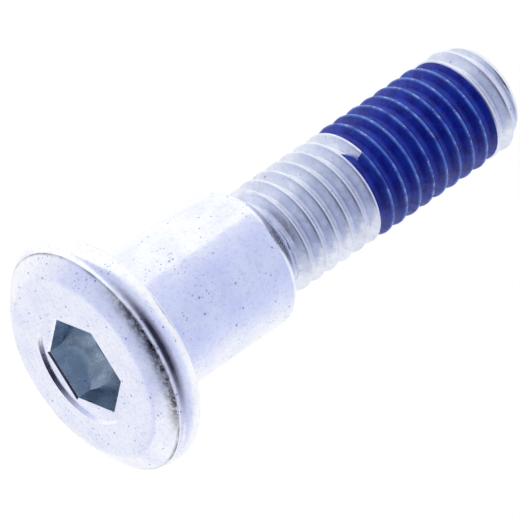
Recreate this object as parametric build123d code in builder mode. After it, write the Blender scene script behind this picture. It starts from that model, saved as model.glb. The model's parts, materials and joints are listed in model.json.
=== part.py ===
from build123d import *
import os
from math import atan, cos, degrees, pi, radians, tan

# Shoulder bolt, millimetres. The bolt stands on its head: the flat face of the head is
# the plane z = 0, and +Z runs along the axis to the tip of the thread.

# ---- Driving dimensions -------------------------------------------------------------

# Head, cold headed between open dies, so its rim is a barrel and not a turned cylinder.
head_diameter = 16.7          # over the widest part of the barrel rim
head_height = 3.2             # face to bearing face
face_diameter = 13.3          # flat part of the face
bevel_crown = 0.06            # how far the bevel round the face bows outwards
crease_diameter = 16.1        # sharp edge where the bevel ends
crease_height = 0.9           # that edge, behind the face
rim_step = 0.1                # how far the rim draws in just behind the edge
rim_step_width = 0.4          # length of that draw-in along the axis
rim_widest_height = 1.9       # where the barrel is widest
bearing_edge_inset = 0.7      # how far the rim has rounded in where it meets the bearing face
under_head_fillet = 0.3       # bearing face to shoulder

# Hexagon socket, forged by a punch whose end is coned.
key_size = 6.1                # across the flats, for a 6 mm key
recess_diameter = 8.26        # shallow round recess around the hexagon
recess_depth = 0.2
socket_lead_in = 0.12         # chamfer round the mouth of the hexagon
corner_depth = 1.13           # recess floor to where the cone cuts the corners
socket_depth = 3.1            # recess floor to the flat bottom
socket_floor_diameter = 5.3   # flat bottom of the cone

# Shoulder, the bearing surface that a wheel, link or bush turns on.
shoulder_diameter = 10.0
shoulder_length = 12.15       # bearing face to seating face
seat_chamfer_height = 1.05    # length of the cone that ends the shoulder
seat_diameter = 8.2           # outer edge of the seating face

# Thread, M8 x 1.25, right handed.
thread_diameter = 7.9         # over the crests of a rolled and plated thread
thread_pitch = 1.25
thread_length = 21.5          # seating face to tip
thread_start_angle = -145.0   # where round the axis the ridge leaves the seating face
neck_diameter = 6.3           # relief behind the seating face
neck_length = 0.55
run_in_height = 0.7           # axial length over which the ridge rises to full height
tip_diameter = 6.5            # face at the end of the thread
tip_chamfer_height = 0.95

# Thread-locking patch, a coat of nylon melted on to the thread all the way round.
patch_start = 8.0             # seating face to the first edge of the coat
patch_length = 10.9
patch_thickness = 0.06        # square to the flanks

# ---- Values worked out from them ----------------------------------------------------

head_radius = head_diameter / 2
crease_radius = crease_diameter / 2
shoulder_radius = shoulder_diameter / 2
thread_radius = thread_diameter / 2

seat_height = head_height + shoulder_length
tip_height = seat_height + thread_length
patch_bottom = seat_height + patch_start
ridge_bottom = seat_height + neck_length

# ISO metric profile: 60 degree thread, flats of an eighth and a quarter of the pitch.
flank_angle = radians(30)
crest_width = thread_pitch / 8
root_width = thread_pitch / 4
thread_depth = (thread_pitch - crest_width - root_width) / 2 / tan(flank_angle)
core_radius = thread_radius - thread_depth
ridge_sink = 0.15             # how deep a swept ridge is sunk into the core
tip_radius = tip_diameter / 2
tip_chamfer_width = thread_radius - tip_radius
cone_reach = 1.5              # the cones that trim the ridge run on past its crest
edge_tolerance = 0.001        # for choosing edges by their height

hex_corner_radius = key_size / 2 / cos(pi / 6)
socket_floor_height = recess_depth + socket_depth
cone_draft = (hex_corner_radius - socket_floor_diameter / 2) / (socket_depth - corner_depth)


def thread_ridge(bottom, top, growth):
    """The thread's ridge between two heights, grown outwards by growth. It turns with its
    height, so that ridges of any length and growth lie on the same helix."""
    start_angle = thread_start_angle + 360 * (bottom - seat_height) / thread_pitch
    half_crest = crest_width / 2 + growth * (1 / cos(flank_angle) - tan(flank_angle))
    depth = thread_depth + ridge_sink
    half_base = crest_width / 2 + depth * tan(flank_angle) + growth / cos(flank_angle)
    with BuildPart() as ridge:
        with BuildLine(Plane((0, 0, bottom))) as path:
            Helix(pitch=thread_pitch, height=top - bottom, radius=thread_radius)
        start = path.line @ 0
        outward = Vector(start.X, start.Y, 0)
        with BuildSketch(Plane(start, x_dir=outward, z_dir=path.line % 0)):
            with BuildLine():
                Polyline(
                    (-depth, -half_base),
                    (growth, -half_crest),
                    (growth, half_crest),
                    (-depth, half_base),
                    close=True,
                )
            make_face()
        sweep(path=path.line, is_frenet=True)
    return ridge.part.rotate(Axis.Z, start_angle)


# ---- Thread ridge, cut to its run-in at the neck and its chamfer at the tip -----------

with BuildPart() as bolt_ridge:
    add(thread_ridge(seat_height, tip_height + thread_pitch, 0))
    with BuildSketch(Plane.XZ):
        with BuildLine():
            Polyline(
                (0, ridge_bottom),
                (core_radius, ridge_bottom),
                (core_radius + cone_reach * thread_depth, ridge_bottom + cone_reach * run_in_height),
                (tip_radius + cone_reach * tip_chamfer_width, tip_height - cone_reach * tip_chamfer_height),
                (tip_radius, tip_height),
                (0, tip_height),
                close=True,
            )
        make_face()
    revolve(axis=Axis.Z, mode=Mode.INTERSECT)

# ---- Punch for the socket: a hexagon with its corners coned away ----------------------

with BuildPart() as socket_punch:
    with BuildSketch(Plane.XY.offset(recess_depth)):
        RegularPolygon(key_size / 2, 6, major_radius=False)
    extrude(amount=socket_depth)
    with BuildSketch(Plane.XZ):
        with BuildLine():
            Polyline(
                (0, recess_depth),
                (hex_corner_radius + cone_draft * corner_depth, recess_depth),
                (socket_floor_diameter / 2, socket_floor_height),
                (0, socket_floor_height),
                close=True,
            )
        make_face()
    revolve(axis=Axis.Z, mode=Mode.INTERSECT)

# ---- Bolt ---------------------------------------------------------------------------

with BuildPart() as bolt:
    with BuildSketch(Plane.XZ):
        with BuildLine():
            face_edge = (face_diameter / 2, 0)
            crease = (crease_radius, crease_height)
            step = (crease_radius - rim_step, crease_height + rim_step_width / 2)
            step_end = (crease_radius, crease_height + rim_step_width)
            widest = (head_radius, rim_widest_height)
            bearing_edge = (head_radius - bearing_edge_inset, head_height)
            fillet_start = (shoulder_radius + under_head_fillet, head_height)
            fillet_end = (shoulder_radius, head_height + under_head_fillet)
            Line((0, 0), face_edge)
            SagittaArc(face_edge, crease, bevel_crown)
            ThreePointArc(crease, step, step_end)
            TangentArc(step_end, widest, tangent=(0, 1), tangent_from_first=False)
            TangentArc(widest, bearing_edge, tangent=(0, 1))
            Line(bearing_edge, fillet_start)
            TangentArc(fillet_start, fillet_end, tangent=(-1, 0))
            Polyline(
                fillet_end,
                (shoulder_radius, seat_height - seat_chamfer_height),
                (seat_diameter / 2, seat_height),
                (neck_diameter / 2, seat_height),
                (neck_diameter / 2, ridge_bottom),
                (core_radius, ridge_bottom),
                (core_radius, tip_height),
                (0, tip_height),
                (0, 0),
            )
        make_face()
    revolve(axis=Axis.Z)
    add(bolt_ridge.part)
    with BuildSketch(Plane.XY):
        Circle(recess_diameter / 2)
    extrude(amount=recess_depth, mode=Mode.SUBTRACT)
    add(socket_punch.part, mode=Mode.SUBTRACT)
    recess_floor = (recess_depth - edge_tolerance, recess_depth + edge_tolerance)
    mouth = bolt.edges().filter_by_position(Axis.Z, *recess_floor).filter_by(GeomType.LINE)
    chamfer(mouth, socket_lead_in)
bolt.part.label = "bolt"

# ---- Locking patch: the thread's own form, grown outwards, less the bolt --------------

with BuildPart() as locking_patch:
    add(thread_ridge(patch_bottom - thread_pitch, patch_bottom + patch_length + thread_pitch, patch_thickness))
    with BuildSketch(Plane.XY.offset(patch_bottom)):
        Circle(shoulder_radius)
    extrude(amount=patch_length, mode=Mode.INTERSECT)
    with BuildSketch(Plane.XY.offset(patch_bottom)):
        Circle(core_radius + patch_thickness)
    extrude(amount=patch_length)
    add(bolt.part, mode=Mode.SUBTRACT)
locking_patch.part.label = "locking_patch"

os.makedirs("parts", exist_ok=True)
export_step(bolt.part, "parts/bolt.step")
export_step(locking_patch.part, "parts/locking_patch.step")

for piece in (bolt.part, locking_patch.part):
    size = piece.bounding_box().size
    print(f"{piece.label}: {piece.volume:.1f} mm3, {size.X:.2f} x {size.Y:.2f} x {size.Z:.2f} mm")
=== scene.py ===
# %% [markdown]
# # A shoulder bolt in bright zinc, with a blue locking patch
#
# The bolt is one forged and rolled piece of steel: a low round head with a hexagon socket, a
# plain shoulder that a wheel or link turns on, and a thread. A coat of blue nylon melted on to
# the thread keeps it from working loose. It stands on its head, with its axis along +Z.
#
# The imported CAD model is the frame. Everything below is made in the same place and at the same
# size, in metres, and then stands in for the CAD solids.

# %% Load the frame
import json
from math import asin, cos, pi, radians, sin, tan
import bmesh
import bpy
import numpy as np
from mathutils import Matrix, Vector


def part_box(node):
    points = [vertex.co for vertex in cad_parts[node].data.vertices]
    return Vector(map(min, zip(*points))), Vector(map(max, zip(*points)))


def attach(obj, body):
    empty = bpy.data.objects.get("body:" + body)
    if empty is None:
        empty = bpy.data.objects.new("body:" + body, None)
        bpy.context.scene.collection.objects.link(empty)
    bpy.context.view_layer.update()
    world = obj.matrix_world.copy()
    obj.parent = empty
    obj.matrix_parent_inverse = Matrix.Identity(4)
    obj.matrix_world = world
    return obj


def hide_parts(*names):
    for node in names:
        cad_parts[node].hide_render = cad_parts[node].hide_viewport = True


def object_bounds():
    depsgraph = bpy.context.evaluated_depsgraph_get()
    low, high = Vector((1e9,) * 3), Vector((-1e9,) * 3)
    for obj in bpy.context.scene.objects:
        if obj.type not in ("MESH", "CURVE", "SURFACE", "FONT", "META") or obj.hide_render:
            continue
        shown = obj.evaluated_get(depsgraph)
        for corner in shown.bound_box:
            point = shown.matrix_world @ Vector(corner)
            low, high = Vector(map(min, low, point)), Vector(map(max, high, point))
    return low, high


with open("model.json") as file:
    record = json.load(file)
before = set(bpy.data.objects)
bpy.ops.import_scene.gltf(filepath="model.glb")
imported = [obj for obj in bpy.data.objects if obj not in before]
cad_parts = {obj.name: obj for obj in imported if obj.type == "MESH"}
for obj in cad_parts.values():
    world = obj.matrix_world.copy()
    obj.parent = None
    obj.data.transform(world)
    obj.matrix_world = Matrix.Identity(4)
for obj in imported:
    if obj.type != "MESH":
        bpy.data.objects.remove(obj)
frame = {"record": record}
cad_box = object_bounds()
print("CAD box in mm:", [[round(value * 1000, 2) for value in corner] for corner in cad_box])

# %% [markdown]
# ## Sizes
#
# The sizes that matter to other parts are read from the frame, so that the looks can never
# drift away from the CAD model. The smaller ones repeat the CAD model's values.

# %% Sizes, from the frame where it has them
mm = 0.001
mounts = {mount["name"]: mount for mount in frame["record"]["mounts"]}
patch_low, patch_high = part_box("locking_patch")

tip_height = cad_box[1].z
head_radius = cad_box[1].x
head_height = mounts["bearing_face"]["pos_m"][2]
shoulder_radius = mounts["shoulder"]["dims"]["r_mm"] * mm
seat_height = mounts["seating_face"]["pos_m"][2]

face_radius = 6.65 * mm
crease_radius = 8.05 * mm
crease_height = 0.9 * mm
rim_step = 0.1 * mm
rim_step_width = 0.4 * mm
rim_widest_height = 1.9 * mm
bearing_edge_inset = 0.7 * mm
under_head_fillet = 0.3 * mm

half_key = 3.05 * mm
recess_radius = 4.13 * mm
recess_depth = 0.2 * mm
socket_lead_in = 0.12 * mm
socket_corner_height = recess_depth + 1.13 * mm
socket_floor_height = recess_depth + 3.1 * mm
socket_floor_radius = 2.65 * mm

seat_chamfer_height = 1.05 * mm
seat_radius = 4.1 * mm
neck_radius = 3.15 * mm
ridge_bottom = seat_height + 0.55 * mm

thread_radius = 3.95 * mm
thread_pitch = 1.25 * mm
thread_start = radians(-145)
flank_angle = radians(30)
run_in_height = 0.7 * mm
tip_radius = 3.25 * mm
tip_chamfer_height = 0.95 * mm
half_crest = thread_pitch / 16
half_root = thread_pitch / 8
thread_depth = (thread_pitch / 2 - half_crest - half_root) / tan(flank_angle)
core_radius = thread_radius - thread_depth
print(f"head radius {head_radius / mm:.2f} mm, shoulder {shoulder_radius / mm:.2f}, tip {tip_height / mm:.2f}")

# %% [markdown]
# ## The camera
#
# The camera looks up at the head from below and lies on its side, so that the bolt leans to
# the right across the view. It stands far off with a long lens, as product cameras do, which
# keeps the round forms from bulging. A camera can be aimed with a constraint, but a matrix made
# from three directions also holds the roll, and nothing has to be worked out again later.

# %% Make the camera
camera_azimuth = radians(-95.75)
camera_elevation = radians(-29.77)
camera_roll = radians(55.39)
camera_distance = 539.56 * mm
camera_lens = 571.85
camera_aim = Vector((0.776, -0.078, 15.45)) * mm


def direction(azimuth, elevation):
    """The unit vector at an azimuth from +X and an elevation above the horizon, in radians."""
    return Vector((cos(azimuth) * cos(elevation), sin(azimuth) * cos(elevation), sin(elevation)))


to_camera = direction(camera_azimuth, camera_elevation)
level_right = Vector((0, 0, 1)).cross(to_camera).normalized()
level_up = to_camera.cross(level_right)
view_right = level_right * cos(camera_roll) + level_up * sin(camera_roll)
view_up = to_camera.cross(view_right)

camera = bpy.data.objects.new("camera", bpy.data.cameras.new("camera"))
bpy.context.scene.collection.objects.link(camera)
turned = Matrix((view_right, view_up, to_camera)).transposed().to_4x4()
camera.matrix_world = Matrix.Translation(camera_aim + to_camera * camera_distance) @ turned
camera.data.lens = camera_lens
camera.data.clip_end = 10
bpy.context.scene.camera = camera
print("camera stands", round(camera_distance / mm), "mm away")

# %% [markdown]
# ## Grids that go round the axis
#
# Every surface of the bolt goes once round its axis. Each is a grid: a column for each angle,
# and a row for each step along the section. A radius and a height for each point of the grid
# are all that it takes, and both are whole arrays. Where a row has the same radius all round it
# is a circle, and where the radius changes with the angle the same row is a hexagon or a thread.

# %% A grid of points round the axis
columns = 192                                   # a multiple of six, for the hexagon's corners
turn = np.linspace(0, 2 * pi, columns + 1)      # the last column meets the first


def ring_grid(radius, height):
    """Points of a surface round the Z axis. A point is (radius cos turn, radius sin turn, height),
    where radius and height are one column, or one value for each point."""
    shape = (len(radius), len(turn))
    radius = np.broadcast_to(radius, shape)
    height = np.broadcast_to(height, shape)
    return np.stack([radius * np.cos(turn), radius * np.sin(turn), height], axis=-1)


def column(values):
    """A list of values as the single column that ring_grid takes."""
    return np.array(values, float)[:, None]


def skin(name, grids, materials, weld=2e-6, **fields):
    """One closed mesh from several grids. Each four neighbouring points of a grid make a face.
    Grids meet where they share their end rows, and the doubled points there are welded. A field
    is a value for each point of all the grids, and becomes an attribute."""
    points = np.concatenate([grid.reshape(-1, 3) for grid, _ in grids])
    faces, slots, first = [], [], 0
    for grid, slot in grids:
        rows, wide = grid.shape[:2]
        index = first + np.arange(rows * wide).reshape(rows, wide)
        quads = np.stack([index[:-1, :-1], index[:-1, 1:], index[1:, 1:], index[1:, :-1]], axis=-1)
        faces.append(quads.reshape(-1, 4))
        slots.append(np.full(len(faces[-1]), slot))
        first += rows * wide
    faces, slots = np.concatenate(faces), np.concatenate(slots)

    mesh = bpy.data.meshes.new(name)
    mesh.from_pydata(points, [], faces)
    for material in materials:
        mesh.materials.append(material)
    mesh.polygons.foreach_set("material_index", slots)
    for field, values in fields.items():
        mesh.attributes.new(field, "FLOAT", "POINT").data.foreach_set("value", values.astype(np.float32))

    welded = bmesh.new()
    welded.from_mesh(mesh)
    bmesh.ops.remove_doubles(welded, verts=welded.verts, dist=weld)
    bmesh.ops.dissolve_degenerate(welded, edges=welded.edges, dist=weld / 2)
    bmesh.ops.triangulate(welded, faces=[face for face in welded.faces if len(face.verts) > 4])
    bmesh.ops.recalc_face_normals(welded, faces=welded.faces)
    open_edges = sum(not edge.is_manifold for edge in welded.edges)
    welded.to_mesh(mesh)
    welded.free()
    mesh.shade_smooth()
    mesh.set_sharp_from_angle(angle=radians(32))
    piece = bpy.data.objects.new(name, mesh)
    bpy.context.scene.collection.objects.link(piece)
    triangles = sum(len(face.vertices) - 2 for face in mesh.polygons)
    print(f"{name}: {triangles} triangles, {open_edges} open edges")
    return piece


# %% [markdown]
# ## Shader nodes
#
# Materials here are worked out, not drawn in images: noise and cells laid through space in
# millimetres of the object's own coordinates. A few short functions keep the node code readable.

# %% Helpers for shader nodes
def add_node(tree, kind, inputs=None, **settings):
    """A node with its settings and inputs. An input is a value, or another node's socket."""
    made = tree.nodes.new(kind)
    for name, value in settings.items():
        setattr(made, name, value)
    for name, value in (inputs or {}).items():
        if isinstance(value, bpy.types.NodeSocket):
            tree.links.new(value, made.inputs[name])
        else:
            made.inputs[name].default_value = value
    return made


def maths(tree, operation, first, second=0.0, clamp=False):
    """The result of one sum on two numbers or sockets."""
    inputs = {0: first, 1: second}
    return add_node(tree, "ShaderNodeMath", inputs, operation=operation, use_clamp=clamp).outputs[0]


def fade(tree, value, start, end, low=0.0, high=1.0):
    """low where value is at start, high where it is at end, with a soft S between them."""
    inputs = {"Value": value, "From Min": start, "From Max": end, "To Min": low, "To Max": high}
    made = add_node(tree, "ShaderNodeMapRange", inputs, interpolation_type="SMOOTHSTEP")
    return made.outputs["Result"]


def mix(tree, factor, under, over):
    """The colour under, turned into the colour over by factor."""
    made = add_node(tree, "ShaderNodeMix", data_type="RGBA")
    for socket, value in ((0, factor), (6, under), (7, over)):
        if isinstance(value, bpy.types.NodeSocket):
            tree.links.new(value, made.inputs[socket])
        else:
            made.inputs[socket].default_value = value
    return made.outputs[2]


def millimetres(tree):
    """The object's own coordinates, in millimetres."""
    place = add_node(tree, "ShaderNodeTexCoord").outputs["Object"]
    return add_node(tree, "ShaderNodeVectorMath", {0: place, "Scale": 1 / mm}, operation="SCALE").outputs[0]


def noise(tree, place, scale, detail=2.0, roughness=0.5):
    """Noise between 0 and 1 at so many bumps to the millimetre."""
    inputs = {"Vector": place, "Scale": scale, "Detail": detail, "Roughness": roughness}
    return add_node(tree, "ShaderNodeTexNoise", inputs).outputs["Fac"]


def new_material(name):
    """An empty material, its node tree, and its shader joined to the output."""
    material = bpy.data.materials.new(name)
    material.use_nodes = True
    tree = material.node_tree
    tree.nodes.clear()
    shader = add_node(tree, "ShaderNodeBsdfPrincipled")
    add_node(tree, "ShaderNodeOutputMaterial", {"Surface": shader.outputs["BSDF"]})
    return material, tree, shader


# %% [markdown]
# ## Bright zinc
#
# The steel is zinc plated and passivated, which leaves a pale metal with a lavender tint. It
# has been tumbled with others, so it carries specks and shallow dents. Specks are cells of a
# Voronoi texture: only some cells hold a speck, and each speck is the middle of its cell.

# %% Specks and zinc
def specks(tree, place, scale, size, share):
    """1 inside small round specks, 0 elsewhere. Each cell of a Voronoi texture is a random
    colour, and its speck shows only if its red is below share."""
    cells = add_node(tree, "ShaderNodeTexVoronoi", {"Vector": place, "Scale": scale})
    inside = fade(tree, cells.outputs["Distance"], size, size * 0.55)
    red = add_node(tree, "ShaderNodeSeparateColor", {"Color": cells.outputs["Color"]}).outputs[0]
    return maths(tree, "MULTIPLY", inside, maths(tree, "LESS_THAN", red, share))


def painted_crease_shade(tree, place):
    """Painted shade along the edge of the bevel. A point attribute is 1 along that edge: a thin
    broken dark line of painted shade follows it all round, and a wide dark smear of painted shade
    lies on the side that the object's own direction set further on points to, near the camera."""
    near_edge = add_node(tree, "ShaderNodeAttribute", attribute_name="edge_dirt").outputs["Fac"]
    flat = add_node(tree, "ShaderNodeVectorMath", {0: place, 1: (1, 1, 0)}, operation="MULTIPLY").outputs[0]
    way = add_node(tree, "ShaderNodeVectorMath", {0: flat}, operation="NORMALIZE").outputs[0]
    facing_way = add_node(tree, "ShaderNodeVectorMath", {0: way, 1: painted_shade_way}, operation="DOT_PRODUCT")
    smear = maths(tree, "MULTIPLY", fade(tree, near_edge, 0.25, 0.95),
                  fade(tree, facing_way.outputs["Value"], cos(radians(48)), cos(radians(12))))
    streaks = fade(tree, noise(tree, place, 2.2, 5, 0.65), 0.38, 0.58, 0.35, 1)
    thin = maths(tree, "MULTIPLY", fade(tree, near_edge, 0.8, 1.0),
                 fade(tree, noise(tree, place, 0.7, 2), 0.35, 0.6, 0.2, 0.7))
    return maths(tree, "MAXIMUM", maths(tree, "MULTIPLY", smear, streaks), thin)


def zinc(name, light, dark, roughness, speckled, dents):
    """Zinc plating that clouds between two tints, with specks, shallow dents and painted shade along the edge
    of the bevel.
    """
    material, tree, shader = new_material(name)
    place = millimetres(tree)
    cloud = fade(tree, noise(tree, place, 0.45, 3), 0.35, 0.7)
    colour = mix(tree, cloud, light, dark)
    swirl = add_node(tree, "ShaderNodeTexNoise", {"Vector": place, "Scale": 4.0}).outputs["Color"]
    inputs = {0: swirl, 1: (0.16, 0.16, 0.16), 2: place}
    ragged = add_node(tree, "ShaderNodeVectorMath", inputs, operation="MULTIPLY_ADD").outputs[0]
    patches = fade(tree, noise(tree, place, 0.5, 2), 0.5, 0.62)
    fine = specks(tree, ragged, 4.0, 0.28, speckled)
    coarse = specks(tree, ragged, 1.7, 0.19, speckled * 0.5)
    speck = maths(tree, "MAXIMUM", maths(tree, "MULTIPLY", fine, patches), coarse)
    colour = mix(tree, maths(tree, "MULTIPLY", speck, 0.7), colour, (0.16, 0.17, 0.48, 1))
    mottle = fade(tree, noise(tree, place, 3.5, 6, 0.7), 0.45, 0.75, 0, 0.5)
    colour = mix(tree, mottle, colour, (0.55, 0.57, 0.72, 1))
    # Painted shade along the edge of the bevel, darkest on the camera's side.
    colour = mix(tree, painted_crease_shade(tree, place), colour, (0.025, 0.022, 0.03, 1))
    tree.links.new(colour, shader.inputs["Base Color"])
    shader.inputs["Metallic"].default_value = 1.0
    rough = fade(tree, noise(tree, place, 2.0, 3), 0.3, 0.7, roughness * 0.8, roughness * 1.25)
    tree.links.new(rough, shader.inputs["Roughness"])
    height = maths(tree, "ADD", noise(tree, place, 1.3, 3), maths(tree, "MULTIPLY", speck, -0.6))
    bump = add_node(tree, "ShaderNodeBump", {"Height": height, "Strength": 1.0, "Distance": dents})
    tree.links.new(bump.outputs["Normal"], shader.inputs["Normal"])
    return material


# The way that the wide smear of painted shade on the bevel's edge lies: 16 degrees round from the camera's
# side.
painted_shade_way = direction(camera_azimuth + radians(16), 0)
zinc_light = (0.90, 0.92, 1.0, 1)
zinc_dark = (0.80, 0.83, 0.98, 1)
face_light, face_dark = (0.95, 0.96, 1.0, 1), (0.86, 0.88, 0.98, 1)
head_zinc = zinc("head_zinc", face_light, face_dark, 0.2, 0.5, 0.010 * mm)
shoulder_zinc = zinc("shoulder_zinc", zinc_light, zinc_dark, 0.15, 0.5, 0.014 * mm)
thread_zinc = zinc("thread_zinc", (0.84, 0.87, 0.94, 1), (0.72, 0.76, 0.85, 1), 0.33, 0.12, 0.006 * mm)
# The socket's zinc is darker and greyer than the rest of the bolt: painted shade of the deep socket.
shaded_socket_zinc = zinc("shaded_socket_zinc", (0.70, 0.80, 0.88, 1), (0.50, 0.58, 0.64, 1), 0.3, 0.1, 0.006 * mm)
print("zinc finishes made:", len([m for m in bpy.data.materials if "zinc" in m.name]))

# %% [markdown]
# ## The head
#
# The section of the head is a few arcs and lines. Each helper gives the rows of one stretch.

# %% Stretches of a section
def line(start, end, steps=2):
    """Points from start to end, evenly spaced."""
    return np.linspace(start, end, steps)


def bowed(start, end, bow, steps=7):
    """A line from start to end that bows out to its right by bow at the middle: the offset is
    4 bow t (1 - t), with t from 0 to 1."""
    start, end = np.array(start), np.array(end)
    t = np.linspace(0, 1, steps)[:, None]
    along = (end - start) / np.linalg.norm(end - start)
    outward = np.array([along[1], -along[0]])
    return start + (end - start) * t + outward * 4 * bow * t * (1 - t)


def barrel(widest, edge, steps=9):
    """An arc from the widest place of a rim to an edge, upright where it is widest. Its radius
    is (rise squared + inset squared) / (2 inset)."""
    inset, rise = widest[0] - edge[0], edge[1] - widest[1]
    arc = (rise**2 + inset**2) / (2 * inset)
    angle = np.linspace(0, asin(abs(rise) / arc), steps)
    return np.stack([widest[0] - arc * (1 - np.cos(angle)), widest[1] + np.sign(rise) * arc * np.sin(angle)], 1)


# %% The hexagon socket
def hexagon(half_width):
    """The radius of a hexagon at each angle: its half width over the cosine of the angle from
    the middle of the side. The corners are at 0, 60, 120 degrees and so on."""
    from_middle = (turn % (pi / 3)) - pi / 6
    return half_width / np.cos(from_middle)


cone_draft = (half_key / cos(pi / 6) - socket_floor_radius) / (socket_floor_height - socket_corner_height)
wall = hexagon(half_key)
mouth = hexagon(half_key + socket_lead_in)
wall_end = socket_floor_height - (wall - socket_floor_radius) / cone_draft
share = np.linspace(0, 1, 6)[:, None]
socket_radius = np.concatenate([
    socket_floor_radius * np.linspace(0, 1, 6)[:, None] * np.ones_like(wall),
    socket_floor_radius + (wall - socket_floor_radius) * share[1:],
    np.broadcast_to(wall, (4, len(turn))),
])
socket_height = np.concatenate([
    np.full((6, len(turn)), socket_floor_height),
    socket_floor_height + (wall_end - socket_floor_height) * share[1:],
    wall_end + (recess_depth + socket_lead_in - wall_end) * np.linspace(0.25, 1, 4)[:, None],
])
socket = ring_grid(socket_radius, socket_height)
print("socket walls end", round((wall_end.max() - recess_depth) / mm, 2), "mm deep at the middle of a side")

# %% The head and the shoulder
# The dies met a little off centre: towards one side the edge of the bevel stands further out
# and lower, with a deeper step behind it, and on the far side it nearly fades away.
off_centre = 0.3 * mm
off_centre_way = radians(20)


def rim_rows(side):
    """Rows from the face to the bearing face, where side is 1 on the side that the edge of the
    bevel leans to, and -1 on the far side."""
    crease = (crease_radius + (off_centre - 0.02 * mm) * side, crease_height - 0.18 * mm * side)
    step_end = (crease_radius + 0.18 * mm * side, crease_height + rim_step_width + 0.1 * mm * side)
    widest = (head_radius, rim_widest_height)
    bearing_edge = (head_radius - bearing_edge_inset, head_height)
    return np.concatenate([
        bowed((face_radius, 0.01 * mm), crease, 0.06 * mm, 9),
        bowed(crease, step_end, -rim_step * (1.15 + side), 7)[1:],
        barrel(widest, step_end)[-2::-1],
        barrel(widest, bearing_edge)[1:],
    ])


corner = np.linspace(0, pi / 2, 6)
fillet = np.stack([shoulder_radius + under_head_fillet * (1 - np.sin(corner)),
                   head_height + under_head_fillet * (1 - np.cos(corner))], 1)

recess_round = 0.06 * mm
recess = np.concatenate([
    line((recess_radius - recess_round, recess_depth), (recess_radius, recess_depth - recess_round)),
    line((recess_radius, recess_round), (recess_radius + recess_round, 0)),
])
recess_floor = ring_grid(
    np.stack([wall, mouth, np.full_like(mouth, recess_radius - recess_round)]),
    column([recess_depth + socket_lead_in, recess_depth, recess_depth]))
flat_face = line((recess_radius + 0.3 * mm, 0), (face_radius - 0.25 * mm, 0), 4)
near_section, far_section = [
    np.concatenate([recess, flat_face, rim_rows(side), fillet])[:, :, None] for side in (1, -1)]
lean = 0.5 + 0.5 * np.cos(turn - camera_azimuth - off_centre_way)
head_section = far_section + (near_section - far_section) * lean
head = ring_grid(head_section[:, 0], head_section[:, 1])
shoulder_section = np.concatenate([
    line(fillet[-1], (shoulder_radius, seat_height - seat_chamfer_height), 12),
    bowed((shoulder_radius, seat_height - seat_chamfer_height), (seat_radius, seat_height), 0.06 * mm)[1:],
    [(neck_radius, seat_height)],
    line((neck_radius, ridge_bottom), (core_radius, ridge_bottom)),
])
shoulder = ring_grid(shoulder_section[:, :1], shoulder_section[:, 1:])
print("rows in the head and shoulder:", len(head_section) + len(shoulder_section))

# %% [markdown]
# ## The thread
#
# A thread is hard to cut out of even rows, because its edges cross them at a slant and come out
# jagged. So these rows climb with the thread: each row is one place on the thread's section,
# such as the edge of the crest, and it rises by one pitch in each turn. The last column then
# meets the first one pitch further up. Rows that would run past an end of the thread are held
# at that end, where they fall together and are welded.

# %% The section of one turn
def rounded(before, corner_point, after, size, steps=3):
    """A rounded corner: a quadratic curve from size before the corner to size after it."""
    before, corner_point, after = map(np.array, (before, corner_point, after))
    start = corner_point + (before - corner_point) / np.linalg.norm(before - corner_point) * size
    end = corner_point + (after - corner_point) / np.linalg.norm(after - corner_point) * size
    t = np.linspace(0, 1, steps)[:, None]
    return (1 - t) ** 2 * start + 2 * t * (1 - t) * corner_point + t**2 * end


def turn_section(crest_half, crest_radius, root_half, root_radius, crest_round, root_round):
    """Offsets along the axis and radii of one turn of thread, from a crest's middle to the next."""
    crest_middle, crest_edge = (0, crest_radius), (crest_half, crest_radius)
    root_edge, root_middle = (thread_pitch / 2 - root_half, root_radius), (thread_pitch / 2, root_radius)
    up = np.concatenate([
        [crest_middle],
        rounded(crest_middle, crest_edge, root_edge, crest_round),
        line(crest_edge, root_edge, 5)[1:-1],
        rounded(crest_edge, root_edge, root_middle, root_round),
        [root_middle],
    ])
    down = up[-2:0:-1] * (-1, 1) + (thread_pitch, 0)
    return np.concatenate([up, down])


def climbing_rows(section, low, high):
    """Height and radius of each point of rows that climb with the thread and cover low to high.
    The height is the offset in the section plus the pitch times the turns so far."""
    climb = (turn - thread_start) / (2 * pi)
    first = int((low - seat_height) / thread_pitch - climb.max()) - 1
    last = int((high - seat_height) / thread_pitch - climb.min()) + 2
    turns = np.arange(first, last)[:, None]
    number = (turns + section[:, 0] / thread_pitch).reshape(-1, 1)
    radius = np.broadcast_to(section[:, 1], (len(turns), len(section))).reshape(-1, 1)
    height = seat_height + thread_pitch * (number + climb)
    return height, np.broadcast_to(radius, height.shape)


steel_section = turn_section(half_crest, thread_radius, half_root, core_radius, 0.03 * mm, 0.09 * mm)
height, radius = climbing_rows(steel_section, ridge_bottom, tip_height)
height = np.clip(height, ridge_bottom, tip_height)
run_in = core_radius + (height - ridge_bottom) / run_in_height * thread_depth
run_out = tip_radius + (tip_height - height) / tip_chamfer_height * (thread_radius - tip_radius)
thread = ring_grid(np.minimum(radius, np.minimum(run_in, run_out)), height)
tip_face = ring_grid(column([tip_radius, tip_radius * 0.6, tip_radius * 0.3, 0]), column([tip_height] * 4))
print("rows in the thread:", len(height))

face_rows, bevel_rows, step_rows = 8, 9, 6      # rows of the head before and in each stretch
crease_row = face_rows + bevel_rows - 1
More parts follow.
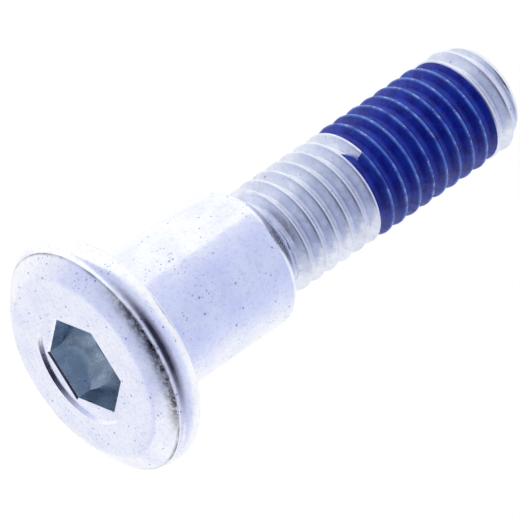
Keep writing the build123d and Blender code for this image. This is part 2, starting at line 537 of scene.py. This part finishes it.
# How strong the painted shade is in each row of the head: none on the face, full at the crease, none past the
# step.
crease_shade_rows = [face_rows + 2, crease_row, crease_row + step_rows]
head_crease_shade = np.interp(np.arange(len(head_section)), crease_shade_rows, [0, 1, 0])
bolt_grids = [socket, recess_floor, head, shoulder, thread, tip_face]
edge_dirt = np.concatenate([
    (head_crease_shade[:, None] * np.ones(len(turn)) if grid is head else np.zeros(grid.shape[:2])).ravel()
    for grid in bolt_grids])

bolt = skin("bolt_zinc_plated", [
    (socket, 0), (recess_floor, 1), (head, 1), (shoulder, 2), (thread, 3), (tip_face, 3),
], [shaded_socket_zinc, head_zinc, shoulder_zinc, thread_zinc], edge_dirt=edge_dirt)
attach(bolt, "root")
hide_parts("bolt")

# %% [markdown]
# ## The locking patch
#
# Nylon powder is blown at the hot thread, melts and runs into a coat. It is thin on the crests
# and pools in the roots, and its first edge is ragged.

# %% The coat
patch_thickness = 0.06 * mm
near_side = camera_azimuth
from_near = (np.degrees(turn - near_side) + 180) % 360 - 180
coat_section = turn_section(half_crest * 0.9, thread_radius + patch_thickness * 0.8, half_root * 1.2,
                            core_radius + patch_thickness * 2.2, 0.045 * mm, 0.11 * mm)
rows_from, rows_to = patch_low.z - 1.5 * thread_pitch, patch_high.z + thread_pitch
height, radius = climbing_rows(coat_section, rows_from, rows_to)
_, steel_radius = climbing_rows(steel_section, rows_from, rows_to)


def smooth(value, start, end):
    """0 where value is at start, 1 where it is at end, with the S curve t t (3 - 2 t) between."""
    t = np.clip((value - start) / (end - start), 0, 1)
    return t * t * (3 - 2 * t)


# Crests are counted along the side that faces the camera, from the shoulder.
coat_climb = (near_side + np.radians(from_near) - thread_start) / (2 * pi)
crest_number = (height - seat_height) / thread_pitch - coat_climb
first_crest = 6.1 + 0.94 * smooth(from_near, -12, -20)
last_crest = 14.9
edge = np.minimum(smooth(crest_number, first_crest - 0.03, first_crest + 0.12),
                  smooth(crest_number, last_crest + 0.05, last_crest - 0.06))
tongue = np.maximum(smooth(from_near, -38, -22) * smooth(from_near, -8, -14) * 0.3, 0.01)
edge = np.maximum(edge, smooth(np.abs(crest_number - 6.45), tongue, tongue * 0.7) * (tongue > 0.02))
sunk = 0.04 * mm        # how deep in the steel the coat's skin lies where the thread is bare
low, high = patch_low.z - 0.5 * mm, patch_high.z + 0.7 * mm
at_end = (height <= low) | (height >= high)
height = np.clip(height, low, high)
bare = steel_radius - sunk
outer_radius = np.where(at_end, core_radius - 3 * sunk, bare + (radius - steel_radius + sunk) * edge)
inner_radius = np.where(at_end, core_radius - 3 * sunk, steel_radius - 2 * sunk)
outer = ring_grid(outer_radius, height)
inner = ring_grid(inner_radius[::-1], height[::-1])
crest_share = (radius - coat_section[:, 1].min()) / np.ptp(coat_section[:, 1])


def nylon():
    """Blue nylon: deep where it pools in the roots, lighter where it is thin over the crests,
    with painted glints on the tops of the crests.
    """
    material, tree, shader = new_material("blue_nylon_coat")
    place = millimetres(tree)
    crest = add_node(tree, "ShaderNodeAttribute", attribute_name="crest_share").outputs["Fac"]
    deep, shallow = (0.008, 0.022, 0.34, 1), (0.016, 0.060, 0.56, 1)
    colour = mix(tree, fade(tree, noise(tree, place, 1.2, 3), 0.3, 0.7), deep, shallow)
    worn = fade(tree, noise(tree, place, 0.9, 3), 0.3, 0.6, 0.2, 1)
    thin = maths(tree, "MULTIPLY", fade(tree, crest, 0.78, 1.0), worn)
    colour = mix(tree, thin, colour, (0.12, 0.30, 0.82, 1))
    dust = fade(tree, noise(tree, place, 7.0, 3, 0.7), 0.55, 0.68, 0, 0.55)
    colour = mix(tree, dust, colour, (0.13, 0.10, 0.42, 1))
    # Painted highlight: pale glints on the tops of the crests, broken up by noise.
    broken = fade(tree, noise(tree, place, 2.4, 3), 0.54, 0.62)
    painted_glint = maths(tree, "MULTIPLY", fade(tree, crest, 0.93, 1.0), broken)
    colour = mix(tree, maths(tree, "MULTIPLY", painted_glint, 0.6), colour, (0.55, 0.62, 0.90, 1))
    shader.inputs["Specular IOR Level"].default_value = 0.4
    tree.links.new(colour, shader.inputs["Base Color"])
    rough = fade(tree, noise(tree, place, 1.6, 2), 0.3, 0.7, 0.28, 0.5)
    tree.links.new(rough, shader.inputs["Roughness"])
    bump = add_node(tree, "ShaderNodeBump", {
        "Height": noise(tree, place, 3.0, 4, 0.65), "Strength": 1.0, "Distance": 0.035 * mm})
    tree.links.new(bump.outputs["Normal"], shader.inputs["Normal"])
    return material


patch = skin("locking_patch_coat", [(outer, 0), (inner, 0)], [nylon()],
             crest_share=np.concatenate([crest_share.ravel(), crest_share[::-1].ravel()]))
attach(patch, "root")
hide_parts("locking_patch")

# %% [markdown]
# ## The floor
#
# A plain pale sheet that takes the shadow. The camera of this scene looks up from below it, so
# the sheet shows on its upper side only. Its material mixes a matt white with a clear shader,
# by which side is seen and by whether a camera ray sees it, so that the metal never mirrors it.

# %% The floor
floor_drop = 0.15 * mm
floor_mesh = bpy.data.meshes.new("floor")
reach = 1.5
floor_mesh.from_pydata([(-reach, -reach, -floor_drop), (reach, -reach, -floor_drop),
                        (reach, reach, -floor_drop), (-reach, reach, -floor_drop)], [], [(0, 1, 2, 3)])
floor = bpy.data.objects.new("floor", floor_mesh)
bpy.context.scene.collection.objects.link(floor)
paper = bpy.data.materials.new("pale_paper")
paper.use_nodes = True
tree = paper.node_tree
tree.nodes.clear()
white = add_node(tree, "ShaderNodeBsdfDiffuse", {"Color": (0.9, 0.9, 0.9, 1)})
clear = add_node(tree, "ShaderNodeBsdfTransparent")
above = maths(tree, "SUBTRACT", 1.0, add_node(tree, "ShaderNodeNewGeometry").outputs["Backfacing"])
seen = maths(tree, "MULTIPLY", above, add_node(tree, "ShaderNodeLightPath").outputs["Is Camera Ray"])
both = add_node(tree, "ShaderNodeMixShader", {0: seen, 1: clear.outputs[0], 2: white.outputs[0]})
add_node(tree, "ShaderNodeOutputMaterial", {"Surface": both.outputs[0]})
floor_mesh.materials.append(paper)

# %% [markdown]
# ## The room
#
# Metal shows what is around it. The room is a world shader: pale all round, darker towards one
# side, with a softbox and a bright table. Each is worked out from the direction that is looked
# in, as the dot product with the direction that it lies in. The camera itself sees plain white.

# %% The room
room = bpy.data.worlds.new("studio")
bpy.context.scene.world = room
room.use_nodes = True
tree = room.node_tree
tree.nodes.clear()
looking = add_node(tree, "ShaderNodeTexCoord").outputs["Generated"]


def towards(way):
    """How nearly the looked-at direction is that way: 1 straight there, 0 at right angles."""
    inputs = {0: looking, 1: way}
    return add_node(tree, "ShaderNodeVectorMath", inputs, operation="DOT_PRODUCT").outputs["Value"]


dark_side = (to_camera * 0.9 - view_right * 0.05 - view_up * 0.42).normalized()
softbox = direction(radians(158.7), radians(21.6))
table = direction(radians(32.3), radians(-31.2))
facing = towards(dark_side)
halved = add_node(tree, "ShaderNodeMath", {0: facing, 1: 0.5, 2: 0.5}, operation="MULTIPLY_ADD")
ramp = add_node(tree, "ShaderNodeValToRGB", {"Fac": halved.outputs[0]})
stops = [(0.30, (1, 1, 1, 1)), (0.56, (0.68, 0.72, 0.93, 1)), (0.72, (0.62, 0.66, 0.84, 1)),
         (0.86, (0.28, 0.29, 0.40, 1)), (0.96, (0.02, 0.02, 0.04, 1))]
ramp.color_ramp.elements[0].position = stops[0][0]
ramp.color_ramp.elements[0].color = stops[0][1]
ramp.color_ramp.elements[1].position = stops[-1][0]
ramp.color_ramp.elements[1].color = stops[-1][1]
for position, colour in stops[1:-1]:
    ramp.color_ramp.elements.new(position).color = colour
seen_room = mix(tree, fade(tree, towards(softbox), 0.615, 0.645), ramp.outputs["Color"], (1.12, 1.12, 1.14, 1))
seen_room = mix(tree, fade(tree, towards(table), 0.86, 0.93), seen_room, (1.0, 1.0, 1.02, 1))
lit = add_node(tree, "ShaderNodeBackground", {"Color": seen_room, "Strength": 1.0})
plain = add_node(tree, "ShaderNodeBackground", {"Color": (1, 1, 1, 1), "Strength": 1.0})
camera_ray = add_node(tree, "ShaderNodeLightPath").outputs["Is Camera Ray"]
both = add_node(tree, "ShaderNodeMixShader", {0: camera_ray, 1: lit.outputs[0], 2: plain.outputs[0]})
add_node(tree, "ShaderNodeOutputWorld", {"Surface": both.outputs[0]})

bpy.context.scene.view_settings.view_transform = "Standard"
